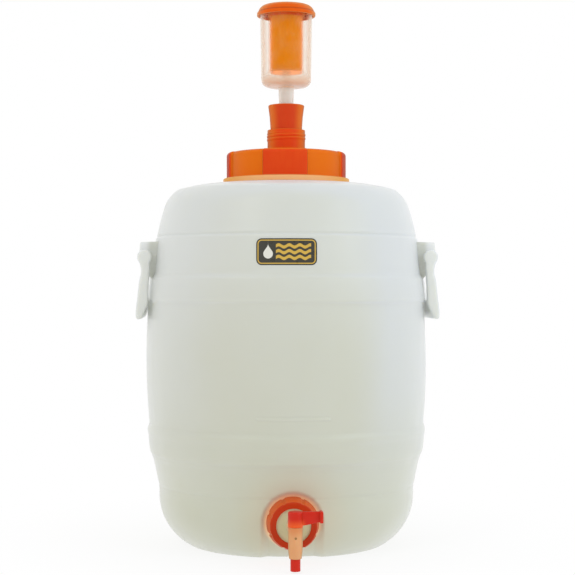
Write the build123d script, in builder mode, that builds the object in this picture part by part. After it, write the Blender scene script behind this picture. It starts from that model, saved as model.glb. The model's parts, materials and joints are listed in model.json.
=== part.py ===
from build123d import *
import os
from math import cos, pi, radians, sin, tan

# A 30 litre blow-moulded fermenting keg with a screw lid, a bung with an airlock,
# a draining tap and two swing handles.  Units are millimetres.
# The origin is the centre of the base plane, +Z is up and the tap faces -Y.

# ---- driving dimensions --------------------------------------------------------------------
wall = 3.0                    # tank wall
base_ring_r = 116.0           # outer edge of the ring the tank stands on
base_rise = 8.0               # push-up at the middle of the base
top_z = 419.4                 # flat of the tank around the neck
neck_r = 60.0                 # outside of the tank's neck
mouth_r = 55.0                # clear opening of the neck
neck_top = 448.5

neck_pitch = 8.0              # coarse thread that holds the lid
neck_thread_depth = 2.4
neck_thread_turns = 1.4
neck_thread_start = 432.5
neck_thread_root = 4.6        # width of the ridge at its foot and at its crest
neck_thread_crest = 2.6

recess_r = 35.5               # arched recess around the tap
recess_depth = 8.0
recess_wall_r = 149.6         # tank wall beside the recess
recess_draft = 14.0           # degrees
recess_start = 100.0          # the recess is drafted outwards from this far in front of the axis
recess_reach = 75.0

port_height = 43.5            # tap port axis above the base
port_r = 21.0
port_bore_r = 12.5
port_face = 159.5             # distance of the port's end from the tank axis
port_length = 38.0
port_pitch = 3.6
port_thread_depth = 1.3
port_thread_start = -10.5     # from the port's end, towards the tank
port_thread_root = 2.4
port_thread_crest = 1.0

lug_half = 40.0               # half the handle lug's length
lug_face = 171.0              # outer face of the lug
lug_bottom = 310.0
lug_top = 351.0
pivot_x = 165.0               # handle pivot axis
pivot_z = 333.5
pivot_bore_r = 4.5
pivot_depth = 10.0
running_gap = 0.05

mark_z = 157.0                # raised level mark on the front
mark_width = 28.6             # degrees around the tank
mark_height = 3.0
mark_proud = 1.0

lid_bottom = 420.4
lid_top = 457.5
lid_plate = 6.0
lid_bore_r = 63.2
lid_gap_r = 67.3              # skirt between the grip lobes
lid_lobe_r = 70.4
lid_flange_r = 74.4
lid_flange_height = 6.0
lid_lobes = 4
lid_gap_angle = 46.5
lid_lobe_turn = -3.9
lid_edge_round = 4.5
lid_thread_turns = 1.1

spout_top = 484.5             # threaded neck on the lid
spout_r = 22.2
spout_mouth_r = 18.6
spout_base_r = 17.6
spout_pitch = 4.0
spout_thread_depth = 0.6
spout_thread_start = 471.5

bung_top = 514.0
bung_bottom = 466.0
bung_top_r = 21.6

cup_bottom = 535.5            # airlock
cup_corner = 543.0
cup_top = 622.0
cup_top_r = 30.9
cup_corner_r = 29.5
cup_floor_r = 23.0
cup_wall = 1.5
stem_r = 9.25
stem_end_r = 7.9
stem_bottom = 474.0
tube_wall = 1.4
inner_tube_r = 6.0
inner_tube_top = 600.0

cap_top = 632.0
cap_crown_r = 19.0            # flat of the crown, and two points down its round side
cap_side_r = 27.3
cap_side_z = 629.2
cap_foot_r = 31.6
cap_foot_z = 624.6
cap_r = 34.6                  # brim
cap_brim_z = 622.8
cap_lip_bottom = 619.2
cap_under = 623.6             # underside over the cup's rim
cap_ceiling = 628.0
cap_lip_gap = 0.8
cap_ribs = 6
bell_r = 21.5
bell_bottom = 552.5
bell_wall = 1.7

label_width = 66.0
label_height = 29.0
label_corner = 6.0
label_z = 337.0
label_turn = -2.6             # degrees around the tank from the tap's side
label_gap = 0.02              # film of glue
label_thickness = 0.3

barrel_y = -200.0             # tap's vertical axis
barrel_r = 7.6
barrel_top = 48.0
barrel_cone_top = 24.0
barrel_bottom = 15.0
barrel_bottom_r = 6.7
branch_root_r = 7.0           # tube between the flange and the barrel
branch_tip_r = 3.7
tail_r = 12.0                 # short tube that centres the tap in the port
tail_length = 14.0
plug_r = 5.7
tip_r = 5.3                   # spout tip below the barrel
tip_bottom = 2.0
plug_bore_r = 3.4
hub_r = 7.9
lever_top = 64.5
lever_length = 29.0
lever_width = 5.0
lever_under = 53.0            # underside of the lever near its end
tab_width = 13.0
tab_thickness = 3.6

nut_r = 28.6
nut_back = 144.0
nut_front = 168.0
nut_lip = 2.6
nut_chamfer = 2.0             # bevel around the front, across and along the axis
nut_taper = 2.4
nut_opening_r = 18.75
nut_notches = 8
nut_notch_r = 6.0
nut_notch_depth = 1.2
gasket_thickness = 2.6

handle_hub_r = 8.5
handle_face = 175.3           # outer face of the grip bar
handle_bottom = 261.5
arm_thickness = 12.0
grip_height = 284.0           # top edge of the grip bar
grip_inner = 165.3            # the grip bar stays outside the hoop of the tank

os.makedirs("parts", exist_ok=True)


def save(piece, name):
    """Label a finished piece and write it as its own STEP file."""
    piece.part.label = name
    export_step(piece.part, f"parts/{name}.step")


# ---- tank outline --------------------------------------------------------------------------
def lower_wall(inset, foot):
    """Draw the wall from its foot to the bead, moved `inset` towards the axis."""
    def at(radius, height):
        return (radius - inset, height)

    ThreePointArc(foot, at(137.0, 18.5), at(recess_wall_r, 56))
    Line(at(recess_wall_r, 56), at(recess_wall_r, 65))
    ThreePointArc(at(recess_wall_r, 65), at(152.6, 81), at(156.4, 99))
    Line(at(156.4, 99), at(160.0, 107))
    ThreePointArc(at(160.0, 107), at(161.6, 117), at(162.0, 127))
    return at(162.0, 127)


def upper_wall(inset):
    """Draw the bead, the belly, the hoop and the wall below the shoulder."""
    def at(radius, height):
        return (radius - inset, height)

    ThreePointArc(at(162.0, 127), at(163.0, 133.5), at(161.2, 140))
    ThreePointArc(at(161.2, 140), at(164.6, 215), at(162.2, 279))
    Line(at(162.2, 279), at(164.2, 283))
    ThreePointArc(at(164.2, 283), at(163.2, 296), at(161.6, 309))
    Line(at(161.6, 309), at(158.6, 314))
    ThreePointArc(at(158.6, 314), at(156.2, 336), at(153.8, 357))
    Line(at(153.8, 357), at(151.9, 362))
    return at(151.9, 362)


def shoulder(inset):
    """Draw the round shoulder and the nearly flat top as one curve."""
    def at(radius, height, slope):
        return (radius - inset * cos(radians(slope)), height - inset * sin(radians(slope)))

    Spline(
        (151.9 - inset, 362),
        at(148.6, 376, 15),
        at(144.2, 391, 24),
        at(138.1, 403, 42),
        at(127.6, 412.6, 62),
        at(105.6, 417.4, 83),
        at(77.0, top_z, 88),
        tangents=[(-0.25, 1), (-1, 0.03)],
    )
    return at(77.0, top_z, 88)


# ---- thread ridges -------------------------------------------------------------------------
def thread_ridge(root_r, crest_r, pitch, turns, start, root_width, crest_width):
    """A right-hand helical ridge from a root radius to a crest radius, rising along +Z."""
    with BuildPart() as ridge:
        with BuildLine() as path:
            Helix(pitch=pitch, height=pitch * turns, radius=root_r, center=(0, 0, start))
        across = Plane(origin=path.line @ 0, x_dir=(1, 0, 0), z_dir=path.line % 0)
        with BuildSketch(across):
            depth = crest_r - root_r
            Polygon(
                (0, -root_width / 2),
                (depth, -crest_width / 2),
                (depth, crest_width / 2),
                (0, root_width / 2),
                align=None,
            )
        sweep(path=path.line, is_frenet=True)
    return ridge.part


# ---- tank ----------------------------------------------------------------------------------
with BuildPart() as tank_core:
    with BuildSketch(Plane.XZ):
        with BuildLine():
            Polyline((0, base_rise), (92, base_rise - 3), (102, 0), (base_ring_r, 0))
            lower_wall(0, (base_ring_r, 0))
            upper_wall(0)
            end = shoulder(0)
            Polyline(end, (neck_r + 3, top_z + 0.6), (neck_r, top_z + 3), (neck_r, neck_top))
            Polyline((neck_r, neck_top), (0, neck_top), (0, base_rise))
        make_face()
    revolve(axis=Axis.Z)

with BuildPart() as tank_hollow:
    with BuildSketch(Plane.XZ):
        with BuildLine():
            floor = base_rise + wall
            ring_floor = wall + 1
            foot = (base_ring_r + 1, ring_floor + 1.5)
            Polyline((0, floor), (92, floor - 3), (104, ring_floor), (base_ring_r - 2, ring_floor), foot)
            lower_wall(wall, foot)
            upper_wall(wall)
            end = shoulder(wall)
            Polyline(end, (mouth_r, top_z - 2), (mouth_r, neck_top), (0, neck_top), (0, floor))
        make_face()
    revolve(axis=Axis.Z)


def inner_core(inset):
    """The lower body as a solid, `inset` smaller in radius, up to above the tap recess."""
    with BuildPart() as core:
        with BuildSketch(Plane.XZ):
            with BuildLine():
                foot = (base_ring_r - inset, 0)
                Line((0, 0), foot)
                end = lower_wall(inset, foot)
                Polyline(end, (0, 127), (0, 0))
            make_face()
        revolve(axis=Axis.Z)
    return core.part


def recess_block(grow):
    """An arch with drafted sides that reaches from inside the body out past the wall."""
    front = Plane(origin=(0, -recess_start, port_height), x_dir=(1, 0, 0), z_dir=(0, -1, 0))
    drafted = (recess_wall_r - recess_start) * tan(radians(recess_draft))
    half = recess_r - drafted + grow
    with BuildPart() as block:
        with BuildSketch(front):
            with BuildLine():
                ThreePointArc((-half, 0), (0, half), (half, 0))
                Polyline((half, 0), (half, -80), (-half, -80), (-half, 0))
            make_face()
        extrude(amount=recess_reach, taper=-recess_draft)
    return block.part


deep_core = inner_core(recess_depth)
deep_hollow = inner_core(recess_depth + wall)
recess = recess_block(0)
recess_outside = recess_block(wall)

with BuildPart() as recess_skin:
    add(recess_outside)
    add(tank_core.part, mode=Mode.INTERSECT)
    add(deep_hollow, mode=Mode.SUBTRACT)

with BuildPart() as recess_cut:
    add(recess)
    add(deep_core, mode=Mode.SUBTRACT)

# ---- tap port ------------------------------------------------------------------------------
port_plane = Plane(origin=(0, -port_face, port_height), x_dir=(1, 0, 0), z_dir=(0, -1, 0))
port_thread = port_plane * thread_ridge(
    port_r - 0.3,
    port_r + port_thread_depth,
    port_pitch,
    2.2,
    port_thread_start,
    port_thread_root,
    port_thread_crest,
)

with BuildPart() as port:
    with BuildSketch(port_plane):
        Circle(port_r)
    extrude(amount=-port_length)
    add(deep_hollow, mode=Mode.SUBTRACT)

# ---- handle lugs ---------------------------------------------------------------------------
with BuildPart() as lug:
    with BuildSketch(Plane.XZ.offset(-lug_half)):
        with BuildLine():
            lug_root = 150
            Polyline(
                (lug_root, lug_bottom),
                (159.0, lug_bottom),
                (lug_face - 1.5, pivot_z - 9),
                (lug_face, pivot_z),
                (lug_face - 0.8, lug_top),
                (lug_root, lug_top),
                (lug_root, lug_bottom),
            )
        make_face()
        fillet(vertices().filter_by(lambda corner: corner.X > lug_face - 3), 2.0)
    extrude(amount=2 * lug_half)
    add(tank_hollow.part, mode=Mode.SUBTRACT)
    for end_side in (-1, 1):
        bore_end = Plane(origin=(pivot_x, end_side * lug_half, pivot_z), z_dir=(0, -end_side, 0))
        with BuildSketch(bore_end):
            Circle(pivot_bore_r)
        extrude(amount=pivot_depth + 1, mode=Mode.SUBTRACT)

# ---- level mark ----------------------------------------------------------------------------
mark_wall_r = 162.2
with BuildPart() as level_mark:
    with BuildSketch(Plane.XZ.rotated((0, 0, -90 - mark_width / 2))):
        with Locations((mark_wall_r, mark_z)):
            Rectangle(2 * mark_proud, mark_height)
    revolve(axis=Axis.Z, revolution_arc=mark_width)

neck_thread = thread_ridge(
    neck_r - 0.4,
    neck_r + neck_thread_depth,
    neck_pitch,
    neck_thread_turns,
    neck_thread_start,
    neck_thread_root,
    neck_thread_crest,
)

with BuildPart() as tank:
    add(tank_core.part)
    add(tank_hollow.part, mode=Mode.SUBTRACT)
    add(recess_skin.part)
    add(recess_cut.part, mode=Mode.SUBTRACT)
    add(port.part)
    with BuildSketch(port_plane):
        Circle(port_bore_r)
    extrude(amount=-port_length - 2, mode=Mode.SUBTRACT)
    add(port_thread)
    add(lug.part)
    add(mirror(lug.part, about=Plane.YZ))
    add(level_mark.part)
    add(neck_thread)
save(tank, "tank")

# ---- lid -----------------------------------------------------------------------------------
lid_thread = thread_ridge(
    lid_bore_r + 0.4,
    neck_r + 0.8,
    neck_pitch,
    lid_thread_turns,
    neck_thread_start - neck_pitch / 2,
    neck_thread_root,
    neck_thread_crest,
)
spout_thread = thread_ridge(
    spout_r - 0.3, spout_r + spout_thread_depth, spout_pitch, 2.25, spout_thread_start, 2.2, 0.8
)

with BuildPart() as lid:
    with BuildSketch(Plane.XY.offset(lid_bottom + 1)):
        Circle(lid_lobe_r)
        with PolarLocations(0, lid_lobes, start_angle=180 / lid_lobes + lid_lobe_turn):
            reach = 2 * lid_lobe_r
            half_angle = radians(lid_gap_angle / 2)
            Polygon(
                (0, 0),
                (reach * cos(half_angle), -reach * sin(half_angle)),
                (reach * cos(half_angle), reach * sin(half_angle)),
                align=None,
                mode=Mode.SUBTRACT,
            )
        Circle(lid_gap_r)
        fillet(vertices().filter_by(lambda v: Vector(v.X, v.Y, 0).length > lid_gap_r + 1), 1.4)
    extrude(amount=lid_top - lid_bottom - 1)
    with BuildSketch(Plane.XZ):
        with BuildLine():
            round_start = lid_top - lid_edge_round
            inner_start = lid_lobe_r + 1 - lid_edge_round
            mid = lid_edge_round * (1 - cos(pi / 4))
            Polyline((0, lid_bottom), (lid_lobe_r + 1, lid_bottom), (lid_lobe_r + 1, round_start))
            ThreePointArc(
                (lid_lobe_r + 1, round_start),
                (lid_lobe_r + 1 - mid, lid_top - mid),
                (inner_start, lid_top),
            )
            Polyline((inner_start, lid_top), (0, lid_top), (0, lid_bottom))
        make_face()
    revolve(axis=Axis.Z, mode=Mode.INTERSECT)
    with BuildSketch(Plane.XY.offset(lid_bottom)):
        Circle(lid_flange_r)
    extrude(amount=lid_flange_height)
    with BuildSketch(Plane.XY.offset(lid_top)):
        Circle(spout_r)
    extrude(amount=spout_top - lid_top)
    with BuildSketch(Plane.XY.offset(lid_bottom)):
        Circle(lid_bore_r)
    extrude(amount=lid_top - lid_plate - lid_bottom, mode=Mode.SUBTRACT)
    with BuildSketch(Plane.XZ):
        Polygon(
            (0, lid_top - lid_plate),
            (spout_base_r, lid_top - lid_plate),
            (spout_mouth_r, spout_top),
            (0, spout_top),
            align=None,
        )
    revolve(axis=Axis.Z, mode=Mode.SUBTRACT)
    add(lid_thread)
    add(spout_thread)
save(lid, "lid")

with BuildPart() as lid_seal:
    with BuildSketch(Plane.XY.offset(neck_top)):
        Circle(lid_bore_r - 0.4)
        Circle(mouth_r - 1, mode=Mode.SUBTRACT)
    extrude(amount=lid_top - lid_plate - neck_top)
save(lid_seal, "lid_seal")


# ---- bung ----------------------------------------------------------------------------------
def taper(bottom_r, top_r, bottom, top, height):
    """Radius of a straight taper at a height."""
    return bottom_r + (top_r - bottom_r) * (height - bottom) / (top - bottom)


def spout_bore(height):
    return taper(spout_base_r, spout_mouth_r, lid_top - lid_plate, spout_top, height)


def stem(height):
    return taper(stem_end_r, stem_r, stem_bottom, cup_bottom, height)


with BuildPart() as bung:
    with BuildSketch(Plane.XZ):
        with BuildLine():
            waist_r = spout_bore(spout_top) - running_gap
            Polyline(
                (stem(bung_bottom) + running_gap, bung_bottom),
                (spout_bore(bung_bottom) - running_gap, bung_bottom),
                (waist_r, spout_top),
                (bung_top_r, bung_top),
                (stem(bung_top) + running_gap, bung_top),
                (stem(bung_bottom) + running_gap, bung_bottom),
            )
        make_face()
    revolve(axis=Axis.Z)
    fillet(edges().filter_by(GeomType.CIRCLE).group_by(Axis.Z)[-1].sort_by(SortBy.RADIUS)[-1], 1.6)
save(bung, "bung")

# ---- airlock -------------------------------------------------------------------------------
with BuildPart() as airlock_cup:
    with BuildSketch(Plane.XZ):
        with BuildLine():
            tube_floor = cup_bottom + cup_wall
            Polyline(
                (stem_end_r - tube_wall, stem_bottom),
                (stem_end_r, stem_bottom),
                (stem_r, cup_bottom),
                (cup_floor_r, cup_bottom),
                (cup_corner_r, cup_corner),
                (cup_top_r, cup_top),
                (cup_top_r - cup_wall, cup_top),
                (cup_corner_r - cup_wall, cup_corner + 0.6),
                (cup_floor_r - 0.6, tube_floor),
                (inner_tube_r, tube_floor),
                (inner_tube_r - 0.6, inner_tube_top),
                (inner_tube_r - 0.6 - tube_wall, inner_tube_top),
                (inner_tube_r - tube_wall, tube_floor),
                (stem_end_r - tube_wall, stem_bottom),
            )
        make_face()
    revolve(axis=Axis.Z)
save(airlock_cup, "airlock_cup")

with BuildPart() as airlock_cap:
    lip_inner_r = cup_top_r + cap_lip_gap
    with BuildSketch(Plane.XZ):
        with BuildLine():
            Polyline((0, cap_ceiling), (0, cap_top), (cap_crown_r, cap_top))
            ThreePointArc((cap_crown_r, cap_top), (cap_side_r, cap_side_z), (cap_foot_r, cap_foot_z))
            Polyline(
                (cap_foot_r, cap_foot_z),
                (cap_r, cap_brim_z),
                (cap_r, cap_lip_bottom),
                (lip_inner_r, cap_lip_bottom),
                (lip_inner_r, cap_under),
                (cap_side_r + 1, cap_under),
                (cap_side_r - 2, cap_ceiling - 1),
                (bell_r, cap_ceiling - 1),
                (bell_r - 0.5, bell_bottom),
                (bell_r - 0.5 - bell_wall, bell_bottom),
                (bell_r - bell_wall, cap_ceiling),
                (0, cap_ceiling),
            )
        make_face()
    revolve(axis=Axis.Z)
    with BuildSketch(Plane.XY.offset(cup_top)):
        with PolarLocations((lip_inner_r + bell_r) / 2, cap_ribs):
            Rectangle(lip_inner_r - bell_r + 0.6, 1.6)
    extrude(amount=cap_under - cup_top + 0.4)
save(airlock_cap, "airlock_cap")

# ---- label ---------------------------------------------------------------------------------
label_plane = Plane(
    origin=(0, 0, label_z),
    x_dir=(cos(radians(label_turn)), sin(radians(label_turn)), 0),
    z_dir=(sin(radians(label_turn)), -cos(radians(label_turn)), 0),
)
with BuildPart() as label:
    with BuildSketch(Plane.XZ):
        with BuildLine():
            ThreePointArc((158.6 + label_gap, 314), (156.2 + label_gap, 336), (153.8 + label_gap, 357))
            Line((153.8 + label_gap, 357), (153.8 + label_thickness, 357))
            ThreePointArc(
                (153.8 + label_thickness, 357),
                (156.2 + label_thickness, 336),
                (158.6 + label_thickness, 314),
            )
            Line((158.6 + label_thickness, 314), (158.6 + label_gap, 314))
        make_face()
    revolve(axis=Axis.Z)
    with BuildSketch(label_plane.offset(120)):
        RectangleRounded(label_width, label_height, label_corner)
    extrude(amount=60, mode=Mode.INTERSECT)
save(label, "label")

# ---- tap -----------------------------------------------------------------------------------
gasket_front = port_face + gasket_thickness
flange_front = nut_front - nut_lip - 0.1

with BuildPart() as tap_gasket:
    with BuildSketch(Plane(origin=(0, -port_face, port_height), z_dir=(0, -1, 0))):
        Circle(port_r - 0.4)
        Circle(port_bore_r, mode=Mode.SUBTRACT)
    extrude(amount=gasket_thickness)
save(tap_gasket, "tap_gasket")

with BuildPart() as tap_body:
    with BuildSketch(Plane(origin=(0, -gasket_front, port_height), z_dir=(0, -1, 0))):
        Circle(port_r)
    extrude(amount=flange_front - gasket_front)
    with BuildSketch(Plane(origin=(0, -gasket_front, port_height), z_dir=(0, 1, 0))):
        Circle(tail_r)
    extrude(amount=tail_length)
    with BuildSketch(Plane(origin=(0, -flange_front, port_height), z_dir=(0, -1, 0))):
        Circle(branch_root_r)
    with BuildSketch(Plane(origin=(0, barrel_y, port_height), z_dir=(0, -1, 0))):
        Circle(branch_tip_r)
    loft()
    with BuildSketch(Plane(origin=(0, barrel_y, barrel_bottom))):
        Circle(barrel_bottom_r)
    with BuildSketch(Plane(origin=(0, barrel_y, barrel_cone_top))):
        Circle(barrel_r)
    loft()
    with BuildSketch(Plane(origin=(0, barrel_y, barrel_cone_top))):
        Circle(barrel_r)
    extrude(amount=barrel_top - barrel_cone_top)
    with BuildSketch(Plane(origin=(0, -gasket_front + tail_length, port_height), z_dir=(0, -1, 0))):
        Circle(plug_bore_r)
    extrude(amount=-barrel_y - gasket_front + tail_length, mode=Mode.SUBTRACT)
    with BuildSketch(Plane(origin=(0, barrel_y, barrel_bottom))):
        Circle(plug_r + running_gap)
    extrude(amount=barrel_top - barrel_bottom, mode=Mode.SUBTRACT)
save(tap_body, "tap_body")

with BuildPart() as tap_plug:
    with BuildSketch(Plane(origin=(0, barrel_y, tip_bottom))):
        Circle(tip_r)
    extrude(amount=barrel_bottom + 1 - tip_bottom)
    with BuildSketch(Plane(origin=(0, barrel_y, barrel_bottom))):
        Circle(plug_r)
    extrude(amount=barrel_top + 2 - barrel_bottom)
    hub_bottom = barrel_top + 0.1
    with BuildSketch(Plane(origin=(0, barrel_y, hub_bottom))):
        Circle(hub_r)
    extrude(amount=lever_top - hub_bottom)
    lever_side = Plane(origin=(0, barrel_y + lever_width / 2, 0), x_dir=(1, 0, 0), z_dir=(0, -1, 0))
    with BuildSketch(lever_side):
        with BuildLine():
            Polyline((0, lever_top), (lever_length, lever_top), (lever_length, lever_under), (24, lever_under))
            ThreePointArc((24, lever_under), (14, 51.2), (6, hub_bottom + 0.3))
            Polyline((6, hub_bottom + 0.3), (0, hub_bottom + 0.3), (0, lever_top))
        make_face()
    extrude(amount=lever_width)
    with BuildSketch(Plane(origin=(lever_length - tab_thickness / 2, barrel_y, lever_under))):
        RectangleRounded(tab_thickness, tab_width, 1.2)
    extrude(amount=lever_top + 0.2 - lever_under)
    with BuildSketch(Plane(origin=(0, barrel_y, tip_bottom))):
        Circle(plug_bore_r)
    extrude(amount=barrel_top - tip_bottom, mode=Mode.SUBTRACT)
    with BuildSketch(Plane(origin=(0, barrel_y, port_height), z_dir=(-1, 0, 0))):
        Circle(plug_bore_r)
    extrude(amount=plug_r + 0.4, mode=Mode.SUBTRACT)
save(tap_plug, "tap_plug")

nut_thread = port_plane * thread_ridge(
    port_r + port_thread_depth + 0.6,
    port_r + 0.35,
    port_pitch,
    1.6,
    port_thread_start + port_pitch / 2,
    port_thread_root,
    port_thread_crest,
)
with BuildPart() as tap_nut:
    with BuildSketch(Plane(origin=(0, -nut_back, port_height), x_dir=(1, 0, 0), z_dir=(0, -1, 0))):
        Circle(nut_r)
    extrude(amount=nut_front - nut_back)
    chamfer(faces().sort_by(Axis.Y)[0].outer_wire().edges(), nut_taper, nut_chamfer)
    with BuildSketch(Plane(origin=(0, -nut_back, port_height), x_dir=(1, 0, 0), z_dir=(0, -1, 0))):
        with PolarLocations(nut_r + nut_notch_r - nut_notch_depth, nut_notches, start_angle=180 / nut_notches):
            Circle(nut_notch_r)
    extrude(amount=nut_front - nut_back, mode=Mode.SUBTRACT)
    with BuildSketch(Plane(origin=(0, -nut_back, port_height), z_dir=(0, -1, 0))):
        Circle(port_r + port_thread_depth + 0.4)
    extrude(amount=nut_front - nut_back - nut_lip, mode=Mode.SUBTRACT)
    with BuildSketch(Plane(origin=(0, -nut_back, port_height), z_dir=(0, -1, 0))):
        Circle(nut_opening_r)
    extrude(amount=nut_front - nut_back, mode=Mode.SUBTRACT)
    add(nut_thread)
save(tap_nut, "tap_nut")

# ---- handles -------------------------------------------------------------------------------
arm_inner = lug_half + 1.0
arm_outer = arm_inner + arm_thickness

with BuildPart() as handle_right:
    with BuildSketch(Plane.XZ.offset(-arm_outer)):
        with BuildLine():
            hub_side = (pivot_x + handle_hub_r, pivot_z)
            grip_side = (handle_face, 268)
            Spline(hub_side, (168.8, 321), (172.2, 303), grip_side, tangents=[(0, -1), (0, -1)])
            Polyline(
                grip_side,
                (handle_face - 1, handle_bottom),
                (168.3, handle_bottom),
                (161.4, 279),
                (160.2, 300),
                (pivot_x - handle_hub_r + 1, pivot_z),
                hub_side,
            )
        make_face()
        with Locations((pivot_x, pivot_z)):
            Circle(handle_hub_r)
    extrude(amount=2 * arm_outer)
    with BuildSketch(Plane.YZ.offset(140)):
        with Locations((0, grip_height)):
            RectangleRounded(2 * arm_inner, 200, 6, align=(Align.CENTER, Align.MIN))
    extrude(amount=50, mode=Mode.SUBTRACT)
    with BuildSketch(Plane.XZ.offset(-arm_inner)):
        with Locations((grip_inner, handle_bottom - 5)):
            Rectangle(20, 60, align=(Align.MAX, Align.MIN))
    extrude(amount=2 * arm_inner, mode=Mode.SUBTRACT)
    for arm_side in (-1, 1):
        pin_plane = Plane(origin=(pivot_x, arm_side * (arm_inner + 2), pivot_z), z_dir=(0, -arm_side, 0))
        with BuildSketch(pin_plane):
            Circle(pivot_bore_r - running_gap)
        extrude(amount=pivot_depth + 2)
save(handle_right, "handle_right")

with BuildPart() as handle_left:
    add(mirror(handle_right.part, about=Plane.YZ))
save(handle_left, "handle_left")
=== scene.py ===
import json
import math
from functools import partialmethod

import bmesh
import bpy
import numpy as np
from mathutils import Matrix, Vector


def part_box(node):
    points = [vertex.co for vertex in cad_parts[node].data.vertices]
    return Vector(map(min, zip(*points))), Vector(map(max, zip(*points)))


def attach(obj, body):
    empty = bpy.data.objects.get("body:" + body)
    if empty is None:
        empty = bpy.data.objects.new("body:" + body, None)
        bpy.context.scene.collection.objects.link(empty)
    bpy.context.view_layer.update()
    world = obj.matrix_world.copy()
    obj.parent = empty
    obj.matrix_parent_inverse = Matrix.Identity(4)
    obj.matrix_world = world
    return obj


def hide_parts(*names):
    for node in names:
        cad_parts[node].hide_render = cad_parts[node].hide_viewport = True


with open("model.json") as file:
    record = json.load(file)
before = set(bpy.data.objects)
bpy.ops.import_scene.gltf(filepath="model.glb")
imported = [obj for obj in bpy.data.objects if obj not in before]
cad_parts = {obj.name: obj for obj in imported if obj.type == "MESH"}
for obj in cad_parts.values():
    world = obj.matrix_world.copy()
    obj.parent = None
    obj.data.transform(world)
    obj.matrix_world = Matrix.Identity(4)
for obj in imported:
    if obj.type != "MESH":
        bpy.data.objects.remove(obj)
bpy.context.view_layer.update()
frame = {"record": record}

# Shapes are drawn in millimetres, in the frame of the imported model, and MM turns them into metres.
MM = 0.001
FRONT = -math.pi / 2  # direction of the tap, as an angle around the tank


def node_box(node):
    """Lowest and highest corner of a CAD node in millimetres."""
    low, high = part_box(node)
    return np.array(low) / MM, np.array(high) / MM


tank_high = node_box("tank")[1]
lid_low, lid_high = node_box("lid")
bung_low, bung_high = node_box("bung")
cup_low, cup_high = node_box("airlock_cup")
cap_low, cap_high = node_box("airlock_cap")
nut_low, nut_high = node_box("tap_nut")
plug_high = node_box("tap_plug")[1]
gasket_low, gasket_high = node_box("tap_gasket")
seal_low, seal_high = node_box("lid_seal")
grip_low, grip_high = node_box("handle_right")
label_low, label_high = node_box("label")

joints = {joint["name"]: joint for joint in frame["record"]["behaviour"]["joints"]}
NECK_TOP = tank_high[2]
LID_PLATE = 6.0
LID_TOP = seal_high[2] + LID_PLATE
PORT_Z = (nut_low[2] + nut_high[2]) / 2
BARREL_Y = joints["tap_turn"]["pos_m"][1] / MM
PIVOT = np.array(joints["handle_right_swing"]["pos_m"]) / MM
LUG_HALF = 40.0
PORT_FACE = -gasket_high[1]  # end of the tap port, in front of the tank axis
PORT_R = 21.0


# ---- outlines ----
def smooth_step(x):
    """0 below 0, 1 above 1 and smooth between."""
    x = np.clip(x, 0.0, 1.0)
    return x * x * (3 - 2 * x)


def arc(start, middle, end, steps=24):
    """Points on the circle through three points, from the first up to but not including the last."""
    (x1, y1), (x2, y2), (x3, y3) = start, middle, end
    d = 2 * (x1 * (y2 - y3) + x2 * (y3 - y1) + x3 * (y1 - y2))
    s1, s2, s3 = x1 * x1 + y1 * y1, x2 * x2 + y2 * y2, x3 * x3 + y3 * y3
    cx = (s1 * (y2 - y3) + s2 * (y3 - y1) + s3 * (y1 - y2)) / d
    cy = (s1 * (x3 - x2) + s2 * (x1 - x3) + s3 * (x2 - x1)) / d
    first = math.atan2(y1 - cy, x1 - cx)
    through = (math.atan2(y2 - cy, x2 - cx) - first) % (2 * math.pi)
    sweep = (math.atan2(y3 - cy, x3 - cx) - first) % (2 * math.pi)
    if through > sweep:
        sweep -= 2 * math.pi
    radius = math.hypot(x1 - cx, y1 - cy)
    turns = first + sweep * np.arange(steps) / steps
    return [(cx + radius * math.cos(t), cy + radius * math.sin(t)) for t in turns]


def rounded(corners, steps=6, closed=True):
    """Outline through (x, y, radius) corners, each rounded with an arc of its radius."""
    points = []
    count = len(corners)
    for i, (x, y, radius) in enumerate(corners):
        here = Vector((x, y))
        if radius <= 0 or (not closed and i in (0, count - 1)):
            points.append((x, y))
            continue
        back = (Vector(corners[i - 1][:2]) - here).normalized()
        ahead = (Vector(corners[(i + 1) % count][:2]) - here).normalized()
        half = back.angle(ahead) / 2
        if half > math.pi / 2 - 0.01:
            points.append((x, y))
            continue
        reach = radius / math.tan(half)
        centre = here + (back + ahead).normalized() * (radius / math.sin(half))
        first = here + back * reach - centre
        last = here + ahead * reach - centre
        turn = first.angle_signed(last)
        for k in range(steps + 1):
            step = Matrix.Rotation(-turn * k / steps, 2)
            points.append(tuple(centre + step @ first))
    return points


def box_corners(left, right, low, high, radius=0.0):
    """Corners of a rectangle for rounded(), all with one radius."""
    return [(left, low, radius), (right, low, radius), (right, high, radius), (left, high, radius)]


def subdivided(points, spacing, closed=True):
    """The same outline with no stretch longer than the spacing."""
    result = []
    count = len(points)
    for i in range(count if closed else count - 1):
        start = np.array(points[i])
        end = np.array(points[(i + 1) % count])
        pieces = max(1, int(math.ceil(np.linalg.norm(end - start) / spacing)))
        for k in range(pieces):
            result.append(tuple(start + (end - start) * k / pieces))
    if not closed:
        result.append(tuple(points[-1]))
    return result


def soften(points, spacing, blur):
    """Resample an open outline evenly and round its corners with a Gaussian blur."""
    points = np.array(points)
    length = np.concatenate([[0], np.cumsum(np.linalg.norm(np.diff(points, axis=0), axis=1))])
    even = np.linspace(0, length[-1], int(length[-1] / spacing) + 1)
    line = np.stack([np.interp(even, length, points[:, i]) for i in (0, 1)], axis=1)
    reach = int(4 * blur / spacing)
    kernel = np.exp(-0.5 * (np.arange(-reach, reach + 1) * spacing / blur) ** 2)
    kernel /= kernel.sum()
    before = 2 * line[0] - line[reach:0:-1]
    after = 2 * line[-1] - line[-2:-reach - 2:-1]
    padded = np.concatenate([before, line, after])
    return np.stack([np.convolve(padded[:, i], kernel, mode="valid") for i in (0, 1)], axis=1)


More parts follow.
